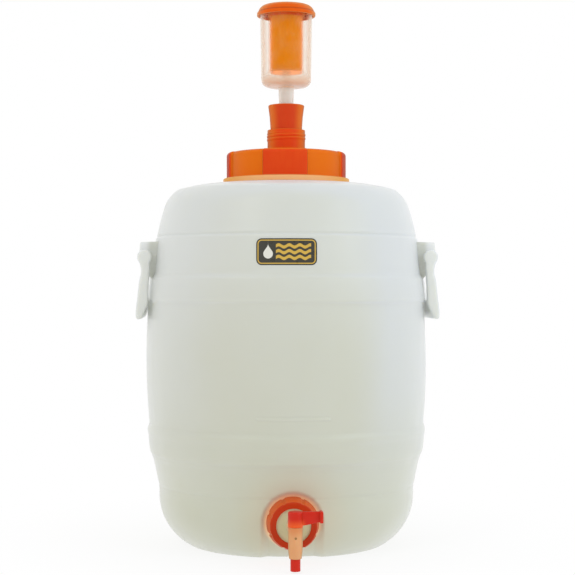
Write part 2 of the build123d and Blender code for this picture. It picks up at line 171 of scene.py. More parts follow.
def spread(density, start, end, samples=6000):
    """Values from start to end, packed as closely as the density function says."""
    t = np.linspace(start, end, samples)
    total = np.concatenate([[0], np.cumsum((density(t[1:]) + density(t[:-1])) / 2 * np.diff(t))])
    count = int(math.ceil(total[-1]))
    return np.interp(np.linspace(0, total[-1], count + 1), total, t)


# ---- meshes ----
def add_object(name, data):
    thing = bpy.data.objects.new(name, data)
    bpy.context.scene.collection.objects.link(thing)
    return thing


def new_object(name, vertices, faces, smooth_angle=35.0):
    """A mesh object from millimetre points, with clean outward normals."""
    mesh = bpy.data.meshes.new(name)
    mesh.from_pydata((np.asarray(vertices) * MM).tolist(), [], faces)
    tidy = bmesh.new()
    tidy.from_mesh(mesh)
    bmesh.ops.remove_doubles(tidy, verts=tidy.verts, dist=1e-7)
    bmesh.ops.recalc_face_normals(tidy, faces=tidy.faces)
    tidy.to_mesh(mesh)
    tidy.free()
    piece = add_object(name, mesh)
    shade(piece, smooth_angle)
    return piece


def shade(piece, angle):
    """Smooth shading with edges sharper than the angle kept crisp."""
    mesh = piece.data
    mesh.polygons.foreach_set("use_smooth", [True] * len(mesh.polygons))
    mesh.set_sharp_from_angle(angle=math.radians(angle))


def lathe(name, rows, columns, shape=None, ring=True, along_y=None, smooth_angle=35.0):
    """Turn an outline of (radius, height) rows around an axis.

    shape(radius, height, angle) may move each point.  ring joins the last row to the first;
    otherwise the rows start and end on the axis.  along_y puts the axis along -Y at a height.
    """
    rows = np.array(rows, float)
    radius, angle = np.meshgrid(rows[:, 0], columns, indexing="ij")
    height = np.repeat(rows[:, 1:2], len(columns), axis=1)
    if shape is not None:
        radius, height = shape(radius, height, angle)
    x, y, z = radius * np.cos(angle), radius * np.sin(angle), height
    if along_y is not None:
        x, y, z = x, -z, y + along_y
    vertices = np.stack([x, y, z], axis=-1).reshape(-1, 3)
    n, m = radius.shape
    last = n if ring else n - 1
    i, j = np.meshgrid(np.arange(last), np.arange(m), indexing="ij")
    a, b = i * m + j, i * m + (j + 1) % m
    c, d = ((i + 1) % n) * m + (j + 1) % m, ((i + 1) % n) * m + j
    faces = np.stack([a, b, c, d], axis=-1).reshape(-1, 4).tolist()
    return new_object(name, vertices, faces, smooth_angle)


def evenly(count):
    """Angles for a full turn."""
    return np.arange(count) * 2 * math.pi / count


def turned(name, corners, count, spacing=None, ring=False, steps=6, **settings):
    """Lathe an outline of (radius, height, rounding) corners, with rows at most the spacing apart."""
    rows = rounded(corners, steps, closed=ring)
    if spacing is not None:
        rows = subdivided(rows, spacing, closed=ring)
    return lathe(name, rows, evenly(count), ring=ring, **settings)


def rod(name, radius, start, end, count, **settings):
    """A plain cylinder, mostly for cutting bores."""
    rows = [(0, start), (radius, start), (radius, end), (0, end)]
    return lathe(name, rows, evenly(count), ring=False, **settings)


def bake(piece, smooth_angle=None):
    """Apply a piece's modifiers to its mesh."""
    evaluated = piece.evaluated_get(bpy.context.evaluated_depsgraph_get())
    mesh = bpy.data.meshes.new_from_object(evaluated)
    piece.modifiers.clear()
    piece.data = mesh
    if smooth_angle is not None:
        shade(piece, smooth_angle)


def boolean(piece, tool, operation, smooth_angle=35.0):
    """Join another closed mesh to the piece, or cut it out, and remove the other mesh."""
    modifier = piece.modifiers.new("boolean", "BOOLEAN")
    modifier.operation = operation
    modifier.solver = "MANIFOLD"
    modifier.object = tool
    bake(piece, smooth_angle)
    bpy.data.objects.remove(tool)


def remesh(piece, voxel, smoothing, smooth_angle=60.0):
    """Turn overlapping closed meshes into one skin with softly rounded joints."""
    modifier = piece.modifiers.new("remesh", "REMESH")
    modifier.mode = "VOXEL"
    modifier.voxel_size = voxel * MM
    relax = piece.modifiers.new("relax", "CORRECTIVE_SMOOTH")
    relax.factor = 0.5
    relax.iterations = smoothing
    relax.use_only_smooth = True
    bake(piece, smooth_angle)


def prism(name, outline, start, end, plane="XZ"):
    """Extrude a closed outline; plane XZ goes along Y, plane XY goes along Z."""
    count = len(outline)
    vertices = []
    for depth in (start, end):
        for u, v in outline:
            vertices.append((u, depth, v) if plane == "XZ" else (u, v, depth))
    faces = [list(range(count)), list(range(2 * count - 1, count - 1, -1))]
    for i in range(count):
        k = (i + 1) % count
        faces.append([i, count + i, count + k, k])
    return new_object(name, vertices, faces)


def bevel(piece, width):
    """Round the edges of a flat-sided piece."""
    modifier = piece.modifiers.new("bevel", "BEVEL")
    modifier.width = width * MM
    modifier.segments = 3
    modifier.angle_limit = math.radians(50)
    bake(piece, 35)


def quarter_turn(axis, sign=1):
    return Matrix.Rotation(sign * math.pi / 2, 4, axis)


def move(piece, place, turn=None):
    """Shift a piece's mesh to a place in millimetres, after an optional turn."""
    shift = Matrix.Translation(Vector(place) * MM)
    piece.data.transform(shift if turn is None else shift @ turn)


def finished(piece, node, body):
    """Let the piece stand for its CAD node, on its body."""
    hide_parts(node)
    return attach(piece, body)


# ---- tank ----
WALL = 3.0
BASE_RISE = 8.0
BASE_R = 116.0  # outer edge of the ring the tank stands on
FOOT_WALL_R = 149.6  # straight wall beside the tap
MOUTH_R = 55.0
NECK_R = 60.0
LABEL_WALL = (158.6, 156.2, 153.8)  # wall radius at heights 314, 336 and 357
RECESS_HALF = 35.5
RECESS_DEPTH = 8.0
RECESS_SLOPE = 9.0
LUG_FACE = 171.0
LUG_TOP = 351.0
MARK_Z = 157.0  # raised level mark on the front
TOP_Z = 419.4  # flat of the tank around the neck
NECK_PITCH = 8.0  # rise of the lid's thread in one turn
PORT_PITCH = 3.6  # the same for the nut's thread
PORT_ROOT = 118.0  # where the port starts, inside the wall
PORT_BORE_R = 12.5
PIN_BORE_R = 4.5
# Faint lines around the wall: height, depth and half width of each.
GROOVES = ((357.5, 1.2, 1.7), (281.5, 0.4, 1.6), (104.5, 0.4, 1.9), (69.0, 0.5, 1.8))


def tank_side(inset):
    """The wall from the base ring up to the flat of the top, as arcs and straight stretches."""
    points = arc((BASE_R, 0), (137.0, 18.5), (FOOT_WALL_R, 56))
    points += [(FOOT_WALL_R, 56)]
    points += arc((FOOT_WALL_R, 65), (152.6, 81), (156.4, 99))
    points += [(156.4, 99)]
    points += arc((160.0, 107), (161.6, 117), (162.0, 127))
    points += arc((162.0, 127), (163.2, 133.5), (161.1, 140))
    points += arc((161.1, 140), (164.6, 215), (162.2, 279), 48)
    points += [(162.2, 279)]
    points += arc((164.3, 283), (163.3, 296), (161.7, 309))
    points += [(161.7, 309)]
    points += arc((LABEL_WALL[0], 314), (LABEL_WALL[1], 336), (LABEL_WALL[2], 357))
    points += [(LABEL_WALL[2], 357)]
    points += arc((152.1, 361), (148.7, 376), (144.7, 390))
    points += arc((144.7, 390), (138.9, 402.6), (128.5, 412.6))
    points += arc((128.5, 412.6), (106.0, 417.6), (77.0, TOP_Z))
    points += [(77.0, TOP_Z), (66.0, TOP_Z + 0.3)]
    line = soften(points, 0.5, 1.3)
    along = np.gradient(line, axis=0)
    along /= np.linalg.norm(along, axis=1)[:, None]
    return line - inset * np.stack([along[:, 1], -along[:, 0]], axis=1)


def thin_out(line):
    """Keep more rows where the outline bends and where the recess, lugs and level mark are."""
    step = np.linalg.norm(np.diff(line, axis=0), axis=1)
    length = np.concatenate([[0], np.cumsum(step)])
    direction = np.unwrap(np.arctan2(*np.gradient(line, axis=0).T[::-1]))
    bend = np.abs(np.gradient(direction, length))
    bend = np.convolve(bend, np.ones(5) / 5, mode="same")
    z = line[:, 1]
    density = 0.22 + np.minimum(6 * bend, 1.2)
    density += 0.55 * ((z < 86) | ((z > 304) & (z < 356)))
    density += 1.6 * (np.abs(z - LUG_TOP) < 3)
    density += 1.2 * (np.abs(z - MARK_Z) < 3)
    for groove_z, _, reach in GROOVES:
        density += 0.9 * (np.abs(z - groove_z) < 2 * reach)
    rows = spread(lambda t: np.interp(t, length, density), 0, length[-1])
    return np.stack([np.interp(rows, length, line[:, i]) for i in (0, 1)], axis=1)


def recess_depth(radius, height, angle, grow):
    """How far the arched recess around the tap pushes the wall in."""
    across = radius * np.sin(angle - FRONT)
    facing = np.cos(angle - FRONT) > 0
    over = np.maximum(height - PORT_Z, 0)
    outside = np.hypot(across, over) - (RECESS_HALF + grow)
    share = smooth_step(-outside / RECESS_SLOPE)
    return RECESS_DEPTH * share * facing * smooth_step((radius - 78) / 40)


def lug_face(height):
    """Distance of a handle lug's outer face from the tank axis plane at a height."""
    heights = [300, 308, 323, 328, 333.5, 340, LUG_TOP - 1.8, LUG_TOP - 0.6, LUG_TOP, LUG_TOP + 0.4]
    inwards = [31, 14, 2.6, 0.8, 0, 0.1, 0.7, 1.4, 2.8, 31]
    return LUG_FACE - np.interp(height, heights, inwards)


def shape_outside(radius, height, angle):
    """Recess, lugs and level mark on the outer skin."""
    deep = recess_depth(radius, height, angle, 0)
    across = radius * np.sin(angle)
    side = np.abs(np.cos(angle))
    width = smooth_step((LUG_HALF + 0.2 - np.abs(across)) / 1.2)
    face = lug_face(height) / np.maximum(side, 0.5)
    proud = np.maximum(face - radius, 0) * width * (side > 0.8) * (np.abs(height - 330) < 30)
    mark_across = np.abs((angle - FRONT + math.pi) % (2 * math.pi) - math.pi) * radius
    mark = smooth_step((40.5 - mark_across) / 1.2) * smooth_step((1.9 - np.abs(height - MARK_Z)) / 0.8)
    wander = 0.22 * np.sin(3 * angle + height / 47) + 0.16 * np.sin(5 * angle - height / 31 + 1.3)
    wander *= smooth_step((height - 20) / 60) * smooth_step((415 - height) / 30)
    for groove_z, groove_depth, reach in GROOVES:
        wander = wander - groove_depth * np.exp(-((height - groove_z) / reach) ** 2) * (radius > 140)
    return radius - deep + proud + 0.8 * mark + wander, height


def shape_inside(radius, height, angle):
    """Only the recess shows on the inner skin."""
    return radius - recess_depth(radius + WALL, height, angle, WALL), height


def screw_ridge(height, angle, start, turns, pitch, depth, share=0.45):
    """Height of a helical ridge that fades in and out at its ends."""
    turn = (height - start) / pitch - angle / (2 * math.pi)
    phase = np.abs((turn + 0.5) % 1 - 0.5)
    ridge = smooth_step((share - phase) / (share * 0.55))
    ends = smooth_step((height - start) / (0.5 * pitch))
    ends *= smooth_step((start + turns * pitch - height) / (0.5 * pitch))
    return depth * ridge * ends


def tank_columns():
    """Angles around the tank, closer at the recess and at the lugs' ends."""
    lug_angle = math.asin(LUG_HALF / 158)

    def density(t):
        recess = np.abs(t - FRONT) < 0.27
        to_side = np.minimum(np.abs(t), np.abs(np.abs(t) - math.pi))
        lug_end = np.abs(to_side - lug_angle) < 0.022
        return 55 + 110 * recess + 420 * lug_end

    return spread(density, -math.pi, math.pi)[:-1]


def make_tank():
    """Blow-moulded shell with its neck, tap port and pin bores."""
    outer = thin_out(tank_side(0))
    inner = thin_out(tank_side(WALL))[::-1]
    under = [(0, BASE_RISE), (30, BASE_RISE - 0.3), (56, BASE_RISE - 1), (80, BASE_RISE - 2.4)]
    under += [(90, 4.6), (96, 2.4), (100, 0.6), (102.5, 0), (106, 0), (111, 0)]
    neck = [(NECK_R + 3, TOP_Z + 0.6), (NECK_R + 0.8, TOP_Z + 1.8), (NECK_R, TOP_Z + 4)]
    neck += [(NECK_R, z) for z in np.arange(TOP_Z + 5, NECK_TOP - 1, 0.5)]
    rim = [(NECK_R, NECK_TOP - 1), (NECK_R - 0.3, NECK_TOP - 0.3), (NECK_R - 1, NECK_TOP)]
    rim += [(MOUTH_R + 1, NECK_TOP), (MOUTH_R + 0.3, NECK_TOP - 0.3), (MOUTH_R, NECK_TOP - 1)]
    bore = [(MOUTH_R, TOP_Z + 5), (MOUTH_R + 0.6, TOP_Z - 0.5), (MOUTH_R + 3, TOP_Z - 2.4)]
    inner = inner[inner[:, 1] > WALL + 1.2]
    floor = [(100, WALL + 0.8), (92, 8), (80, 8.6), (56, 10), (30, 10.7), (0, 11)]
    rows = under + outer.tolist() + neck + rim + bore + inner.tolist() + floor
    first_inner = len(under) + len(outer) + len(neck) + len(rim)

    def shape(radius, height, angle):
        out_r, out_z = shape_outside(radius, height, angle)
        in_r, in_z = shape_inside(radius, height, angle)
        inside = (np.arange(len(rows)) >= first_inner)[:, None]
        on_neck = (np.abs(radius - NECK_R) < 0.01) & (height > TOP_Z + 4)
        ridge = on_neck * screw_ridge(height, angle, NECK_TOP - 18.5, 1.9, NECK_PITCH, 2.2)
        return np.where(inside, in_r, out_r + ridge), np.where(inside, in_z, out_z)

    tank = lathe("tank_shell", rows, tank_columns(), shape, ring=False, smooth_angle=50)

    def thread(radius, height, angle):
        outside = np.abs(radius - PORT_R) < 0.01
        return radius + outside * screw_ridge(height, angle, PORT_FACE - 11, 2.6, PORT_PITCH, 1.3), height

    port_rows = [(0, PORT_ROOT, 0), (PORT_R, PORT_ROOT, 0), (PORT_R, PORT_FACE, 0.8), (0, PORT_FACE, 0)]
    port = turned("port", port_rows, 96, 0.6, shape=thread, along_y=PORT_Z)
    wall_middle = RECESS_DEPTH + 1.1
    trim_rows = [(0, 0), (BASE_R - wall_middle, 0), (137.0 - wall_middle, 18.5)]
    trim_rows += [(FOOT_WALL_R - wall_middle, 56), (FOOT_WALL_R - wall_middle, 90), (0, 90)]
    trim = lathe("trim", trim_rows, evenly(96), ring=False)
    boolean(port, trim, "DIFFERENCE")
    boolean(tank, port, "UNION", 50)
    port_bore = rod("bore", PORT_BORE_R, 100, PORT_FACE + 10, 64, along_y=PORT_Z)
    boolean(tank, port_bore, "DIFFERENCE", 50)
    for side in (-1, 1):
        for end in (-1, 1):
            hole = rod("hole", PIN_BORE_R, 0, 14, 40)
            place = (side * PIVOT[0], end * (LUG_HALF + 3), PIVOT[2])
            move(hole, place, quarter_turn("X", end))
            boolean(tank, hole, "DIFFERENCE", 50)
    return finished(tank, "tank", "tank")


def wall_radius(height):
    """Radius of the wall behind the label."""
    line = tank_side(0)
    keep = (line[:, 1] > 300) & (line[:, 1] < 362)
    return np.interp(height, line[keep, 1], line[keep, 0])


# ---- lid and its seal ----
LOBE_TURN = math.radians(-3.9)  # turn of the four grip lobes against the front
LOBE_HALF = math.radians(21.75)
LOBE_DEPTH = 3.1
LOBE_SLANT = 0.04
LID_CREASE_R = 67.8  # painted shade line where a lobe's flank meets the gap beside it
LID_BORE_R = 63.2
SPOUT_THREAD_Z = 470.5
SPOUT_TOP = lid_high[2]
SPOUT_R = 22.2
SPOUT_MOUTH_R = 18.6
LOBE_R = 70.4
FLANGE_R = (lid_high[0] - lid_low[0]) / 2
FLANGE_HEIGHT = 6.0


def make_lid():
    """Screw cap with grip lobes, a flange at its foot and a spout in its middle."""
    bottom = lid_low[2]
    outside = rounded([
        (LID_BORE_R, bottom, 0.4), (FLANGE_R, bottom, 0.9), (FLANGE_R, bottom + FLANGE_HEIGHT, 1.2),
        (LOBE_R, bottom + FLANGE_HEIGHT + 0.7, 1.2), (LOBE_R, LID_TOP, 4.5), (SPOUT_R, LID_TOP + 0.4, 2.5),
        (SPOUT_R, SPOUT_TOP, 0.8), (SPOUT_MOUTH_R, SPOUT_TOP, 0.5),
        (SPOUT_MOUTH_R - 1, LID_TOP - LID_PLATE, 0.6), (LID_BORE_R, LID_TOP - LID_PLATE, 1.0),
    ], steps=7)
    outside = subdivided(outside, 2.2)
    fine = []
    for r, z in outside:
        fine.append((r, z))
        if abs(r - SPOUT_R) < 0.01 and SPOUT_THREAD_Z - 2 < z < SPOUT_THREAD_Z + 11.5:
            fine += [(r, z + k * 0.36) for k in range(1, 6)]

    def shape(radius, height, angle):
        turn = (angle - FRONT - LOBE_TURN + math.pi / 4) % (math.pi / 2) - math.pi / 4
        gap = smooth_step((np.abs(turn) - LOBE_HALF) / LOBE_SLANT + 0.5)
        above = smooth_step((height - bottom - FLANGE_HEIGHT - 0.1) / 0.5)
        weight = gap * above * smooth_step((radius - 56) / 9)
        on_spout = (np.abs(radius - SPOUT_R) < 0.01) & (height > LID_TOP + 3)
        ridge = on_spout * screw_ridge(height, angle, SPOUT_THREAD_Z, 2.7, 4.0, 0.65)
        in_bore = (np.abs(radius - LID_BORE_R) < 0.01) & (height < LID_TOP - 7)
        inner = in_bore * screw_ridge(height, angle, bottom + 2, 2.2, NECK_PITCH, 2.0)
        return radius - LOBE_DEPTH * weight + ridge - inner, height

    lid = lathe("screw_lid", fine, evenly(540), shape, smooth_angle=40)
    return finished(lid, "lid", "lid")


def make_lid_seal():
    """Flat ring between the neck's rim and the lid."""
    corners = box_corners(54.0, 62.6, seal_low[2], seal_high[2], 0.6)
    seal = turned("lid_gasket", corners, 240, 2, ring=True, steps=4)
    return finished(seal, "lid_seal", "lid_rise")


# ---- bung and airlock ----
BUNG_TOP_R = (bung_high[0] - bung_low[0]) / 2
CUP_FLOOR = 535.5
CUP_R = (cup_high[0] - cup_low[0]) / 2
CUP_SIDE_R = CUP_R - 1.4  # outside of the beaker just above its rounded foot
CUP_WALL = 1.5
RISER_TOP = 600.0
BELL_R = 21.8
BELL_END_Z = 617.5  # where the bell's colour changes to the cap's
BRIM_Z = 623.8


def make_bung():
    """Bored rubber stopper, wider above the lid's spout."""
    bottom, top = bung_low[2], bung_high[2]
    bung = turned("rubber_bung", [
        (9.0, bottom, 0.3), (SPOUT_MOUTH_R - 0.6, bottom, 0.8), (SPOUT_MOUTH_R - 0.1, SPOUT_TOP, 0),
        (19.6, top - 14, 10), (BUNG_TOP_R, top, 1.4), (9.4, top, 0.5),
    ], 180, 1.5, ring=True)
    return finished(bung, "bung", "bung")


def make_airlock_cup():
    """Beaker with a hollow stem below and a riser tube inside."""
    stem_end, floor, top = cup_low[2], CUP_FLOOR, cup_high[2]
    foot, lining = floor + 9.5, floor + CUP_WALL
    rows = rounded([
        (6.5, stem_end, 0.3), (7.85, stem_end, 0.4), (9.2, floor, 1.2), (20.5, floor, 0),
    ], closed=False)
    rows += arc((20.6, floor), (27.1, floor + 2.7), (CUP_SIDE_R, foot), 10)
    rows += rounded([
        (CUP_SIDE_R, foot, 0), (CUP_R, top, 0.5), (CUP_R - CUP_WALL, top, 0.5),
        (CUP_SIDE_R - CUP_WALL, foot, 0),
    ], closed=False)
    rows += arc((CUP_SIDE_R - CUP_WALL, foot - 0.1), (26.0, floor + 3.8), (20.5, lining), 10)
    rows += rounded([
        (20.4, lining, 0), (6.0, lining, 0.8), (5.4, RISER_TOP, 0.5), (4.0, RISER_TOP, 0.4),
        (4.6, lining, 0),
    ], closed=False)
    cup = lathe("airlock_beaker", subdivided(rows, 3), evenly(144), smooth_angle=45)
    return finished(cup, "airlock_cup", "airlock")


def make_airlock_cap():
    """Cap with the bell that hangs inside the cup, carried on the cup's rim by six ribs."""
    lip, top = 619.2, cap_high[2]
    shoulder = (33.0, 624.9)
    under, ceiling = 623.6, 628.0
    rim = (cap_high[0] - cap_low[0]) / 2
    inside = CUP_R + 0.8
    crown = [(0, top), (12, top), (24.5, top)] + arc((25.3, top), (30.2, 629.6), shoulder, 12)
    rows = crown + rounded([
        (*shoulder, 0), (rim, 622.8, 0.8), (rim, lip, 0.9), (inside, lip, 0.5), (inside, under, 0.6),
        (28.3, under, 1.0), (25.3, ceiling - 1, 1.0), (BELL_R, ceiling - 1, 1.2),
        (BELL_R - 0.5, cap_low[2], 0.5), (BELL_R - 2.2, cap_low[2], 0.5), (BELL_R - 1.7, ceiling, 1.2),
        (0, ceiling, 0),
    ], closed=False)
    cap = lathe("airlock_bell_cap", subdivided(rows, 3, closed=False), evenly(144), ring=False)
    outline = rounded(box_corners(BELL_R - 0.6, inside + 0.4, -0.8, 0.8, 0.3))
    for i in range(6):
        rib = prism("rib", outline, cup_high[2] + 0.05, under + 0.4, plane="XY")
        rib.data.transform(Matrix.Rotation(i * math.pi / 3, 4, "Z"))
        boolean(cap, rib, "UNION")
    return finished(cap, "airlock_cap", "airlock_cap")


# ---- label ----
LABEL_TURN = math.radians(-2.6)
LABEL_HALF_W = 33.0
LABEL_HALF_H = 14.5
LABEL_CORNER = 6.0


def make_label():
    """A thin rounded sheet that follows the wall, with its width and height in millimetres as its UV."""
    thickness = 0.28
    middle = (label_low[2] + label_high[2]) / 2
    cells = 12
    corners = box_corners(-LABEL_HALF_W, LABEL_HALF_W, -LABEL_HALF_H, LABEL_HALF_H, LABEL_CORNER)
    outline = subdivided(rounded(corners, steps=8), 2.0)
    rings = [np.array(outline) * k / cells for k in range(cells, 0, -1)]
    flat = []
    count = len(outline)
    heights = np.linspace(-LABEL_HALF_H, LABEL_HALF_H, 60)
    wall = wall_radius(middle + heights)

    def on_wall(u, v, lift):
        radius = float(np.interp(v, heights, wall)) + 0.12 + lift
        angle = FRONT + LABEL_TURN + u / radius
        return (radius * math.cos(angle), radius * math.sin(angle), middle + v)

    vertices = []
    for lift in (thickness, 0.0):
        for ring in rings:
            for u, v in ring:
                vertices.append(on_wall(u, v, lift))
                flat.append((u, v))
        vertices.append(on_wall(0, 0, lift))
        flat.append((0, 0))
    layer = cells * count + 1
    faces = []
    for side in (0, 1):
        base = side * layer
        for k in range(cells - 1):
            a = base + k * count
            b = a + count
            for i in range(count):
                j = (i + 1) % count
                faces.append([a + i, a + j, b + j, b + i])
        a = base + (cells - 1) * count
        for i in range(count):
            faces.append([a + i, a + (i + 1) % count, base + layer - 1])
    for i in range(count):
        j = (i + 1) % count
        faces.append([i, j, layer + j, layer + i])
    label = new_object("front_label", vertices, faces, 40)
    uv = label.data.uv_layers.new(name="print")
    for loop in label.data.loops:
        uv.data[loop.index].uv = flat[loop.vertex_index]
    return finished(label, "label", "tank")


# ---- tap ----
FLANGE_FRONT = -nut_low[1] - 2.7
BARREL_R = 7.6
BARREL_BORE_R = 5.75
HUB_R = 7.9  # widest part of the plug, on top of the barrel
CHANNEL_R = 3.4
GATE_Z = 37.3  # gate mark on the front of the barrel
NUT_BORE_R = 22.7
NUT_OPENING_R = 18.75


def make_tap_gasket():
    """Flat ring between the port's end and the tap's flange."""
    corners = box_corners(13.0, 20.4, -gasket_high[1], -gasket_low[1], 0.4)
    gasket = turned("port_gasket", corners, 120, ring=True, along_y=PORT_Z)
    return finished(gasket, "tap_gasket", "tap")


def make_tap_body():
    """Flange, branch and barrel in one moulding, with its channel and the bore for the plug."""
    back = -gasket_low[1]
    flange = turned("flange", [
        (0, back - 14, 0), (11.9, back - 14, 0.5), (11.9, back, 0.2), (20.9, back, 0.4),
        (20.9, FLANGE_FRONT, 0.6), (8.4, FLANGE_FRONT, 2.0), (6.4, FLANGE_FRONT + 10, 6), (4.4, 196, 0),
        (0, 196, 0),
    ], 120, 1.5, along_y=PORT_Z)
    barrel = turned("barrel", [
        (0, 15, 0), (6.7, 15, 0.5), (BARREL_R, 24, 3), (BARREL_R, 46.8, 0), (HUB_R, 47.2, 0.2),
        (HUB_R, 48, 0.2), (0, 48, 0),
    ], 96, 1.2)
    move(barrel, (0, BARREL_Y, 0))
    gate = turned("gate", [(0, -1, 0), (1.0, -1, 0.2), (0.8, 0.7, 0.2), (0, 0.7, 0)], 24)
    move(gate, (0, BARREL_Y - BARREL_R, GATE_Z), quarter_turn("X"))
    boolean(flange, barrel, "UNION")
    boolean(flange, gate, "UNION")
    remesh(flange, 0.42, 6)
    bore = rod("bore", BARREL_BORE_R, 0, 60, 96)
    move(bore, (0, BARREL_Y, 0))
    boolean(flange, bore, "DIFFERENCE", 45)
    channel = rod("channel", CHANNEL_R, 130, 198, 64, along_y=PORT_Z)
    boolean(flange, channel, "DIFFERENCE", 45)
    flange.name = "tap_housing"
    return finished(flange, "tap_body", "tap")


def make_tap_plug():
    """Hub, lever and hollow plug in one moulding."""
    top = plug_high[2]
    plug = turned("plug", [
        (0, 2, 0), (5.3, 2, 0.5), (5.3, 15.4, 0.2), (5.7, 15.6, 0.1), (5.7, 48.1, 0.1),
        (HUB_R, 48.1, 0.6), (HUB_R, top - 0.2, 2.4), (0, top + 0.1, 0),
    ], 96, 1.2)
    reach = plug_high[0]
    outline = rounded([
        (0, top - 0.4, 0), (reach - 1.2, top - 0.4, 1.2), (reach - 1.2, 53.2, 1.0), (23, 52.9, 6),
        (12, 50.4, 8), (0, 48.5, 0),
    ])
    blade = prism("blade", outline, -2.5, 2.5)
    bevel(blade, 0.9)
    tab_inner, tab_low = reach - 3.6, 52.6
    tab_outline = rounded([
        (tab_inner, tab_low, 1.0), (reach, tab_low, 1.0), (reach, top, 1.2), (tab_inner, top, 1.2),
    ])
    tab = prism("tab", tab_outline, -6.5, 6.5)
    bevel(tab, 0.9)
    boolean(plug, blade, "UNION")
    boolean(plug, tab, "UNION")
    bore = turned("bore", [(0, 0, 0), (3.6, 0, 0), (CHANNEL_R, 48, 1), (0, 48, 0)], 64)
    boolean(plug, bore, "DIFFERENCE")
    port = rod("port", 3.3, 0, 9, 48)
    move(port, (0, 0, PORT_Z), quarter_turn("Y", -1))
    boolean(plug, port, "DIFFERENCE")
    move(plug, (0, BARREL_Y, 0))
    plug.name = "tap_lever"
    return finished(plug, "tap_plug", "tap_plug")


def make_tap_nut():
    """Union nut: threaded bore, rounded flanks and eight shallow notches."""
    back, front = -nut_high[1], -nut_low[1]
    outer = (nut_high[2] - nut_low[2]) / 2
    corners = [
        (NUT_OPENING_R, front, 0.5), (25.0, front, 1.2), (outer - 1.2, front - 9.0, 6.0),
        (outer, back + 4.0, 4.0), (outer, back, 0.9), (NUT_BORE_R, back, 0.5),
        (NUT_BORE_R, front - 2.6, 0.3), (NUT_OPENING_R, front - 2.6, 0.3),
    ]

    def shape(radius, height, angle):
        turn = (angle - FRONT) % (math.pi / 4) - math.pi / 8
        across = outer * np.abs(turn)
        notch = smooth_step((2.6 - across) / 1.6)
        weight = smooth_step((radius - 24.2) / 2.6)
        in_bore = np.abs(radius - NUT_BORE_R) < 0.01
        ridge = in_bore * screw_ridge(height, angle, back + 1, 2.4, PORT_PITCH, 1.3)
        return radius - 1.0 * notch * weight - ridge, height

    nut = turned("union_nut", corners, 480, 0.9, ring=True, steps=5, shape=shape, along_y=PORT_Z,
                 smooth_angle=40)
    return finished(nut, "tap_nut", "tap_nut")


# ---- handles ----
GRIP_TOP = 284.0
GRIP_INNER = 165.4  # the bar between the arms stays outside the tank's hoop
PIN_R = 4.4


def make_handle(side, body):
    """A bail with two arms, a grip bar and pins that turn in the lug's ends."""
    inner, outer = LUG_HALF + 1.0, grip_high[1]
    bottom, face = grip_low[2], grip_high[0]
    pin_x, pin_z = PIVOT[0], PIVOT[2]
    front = arc((pin_x + 6.4, pin_z - 5.5), (168.9, 320), (170.7, 308), 8)
    front += arc((170.7, 308), (173.0, 288), (face - 0.1, 269), 8)
    outline = front + [(face - 0.2, bottom + 3), (face - 1.8, bottom + 0.3)]
    outline += [(170.2, bottom + 0.4), (168.2, bottom + 2)]
    outline += [(161.6, 278.0), (160.7, 283), (160.3, 300), (159.0, 322), (159.6, pin_z - 4)]
    arms = prism("arms", outline, -outer, outer)
    window = rounded([(-inner, GRIP_TOP, 7), (inner, GRIP_TOP, 7), (inner, 360, 0), (-inner, 360, 0)])
    opening = prism("opening", window, 140, 200)
    opening.data.transform(Matrix(((0, 1, 0, 0), (1, 0, 0, 0), (0, 0, 1, 0), (0, 0, 0, 1))))
    opening.data.flip_normals()
    boolean(arms, opening, "DIFFERENCE")
    behind = rounded(box_corners(140, GRIP_INNER, bottom - 5, 300))
    boolean(arms, prism("behind", behind, -inner, inner), "DIFFERENCE")
    for end in (-1, 1):
        hub = turned("hub", [(0, inner, 0), (8.4, inner, 1.2), (8.4, outer, 1.5), (0, outer, 0)], 64, 1.5)
        move(hub, PIVOT, quarter_turn("X", -end))
        boolean(arms, hub, "UNION")
    remesh(arms, 0.9, 14)
    for end in (-1, 1):
        pin = turned("pin", [(0, 30, 0), (PIN_R, 30, 0.6), (PIN_R, inner + 3, 0), (0, inner + 3, 0)], 40, 2)
        move(pin, PIVOT, quarter_turn("X", -end))
        boolean(arms, pin, "UNION", 50)
    if side < 0:
        arms.data.transform(Matrix.Scale(-1, 4, (1, 0, 0)))
        arms.data.flip_normals()
    arms.name = "grip_" + ("left" if side < 0 else "right")
    return finished(arms, body, body)


# ---- materials ----
def srgb(red, green, blue):
    """Linear colour, with alpha, from 0 to 255 display values."""
    def linear(value):
        value /= 255
        return value / 12.92 if value <= 0.04045 else ((value + 0.055) / 1.055) ** 2.4
    return (linear(red), linear(green), linear(blue), 1.0)


SHINE_THROUGH = 0.08  # glow of the milky wall, for the daylight that comes through it
# painted bluish light on the grazing sides of the milky plastic
PAINTED_COOL_SIDE_LIGHT = srgb(208, 213, 222)
# painted peach light from the tap on the tank wall around it
TAP_GLOW = srgb(206, 184, 136)
# painted light: a pale glowing ring on the tank around the nut
NUT_GLOW = srgb(230, 196, 150)
# painted orange light from the lid on the tank just below it
LID_GLOW = srgb(226, 150, 92)
LID_RED = srgb(218, 66, 20)
LID_FLOW = srgb(222, 84, 24)
LID_ORANGE = srgb(225, 113, 10)
# painted shade where the lid's gaps and lobes turn away from the camera
LID_EDGE_SHADE = srgb(200, 98, 22)
LOBE_EDGE_SHADE = srgb(158, 48, 8)
# painted shade in the creases beside the lid's lobes
LID_CREASE_SHADE = srgb(176, 62, 16)
# painted light on the sides of the spout and the bung
SPOUT_SIDE_LIGHT = srgb(216, 112, 26)
# painted brown shade at the very edge of the spout and the bung
BROWN_EDGE_SHADE = srgb(176, 104, 44)
# painted light through the thin flange at the lid's foot, and painted shade where it turns away
LID_FLANGE_LIGHT = srgb(240, 186, 128)
LID_FLANGE_SIDE_SHADE = srgb(224, 168, 88)


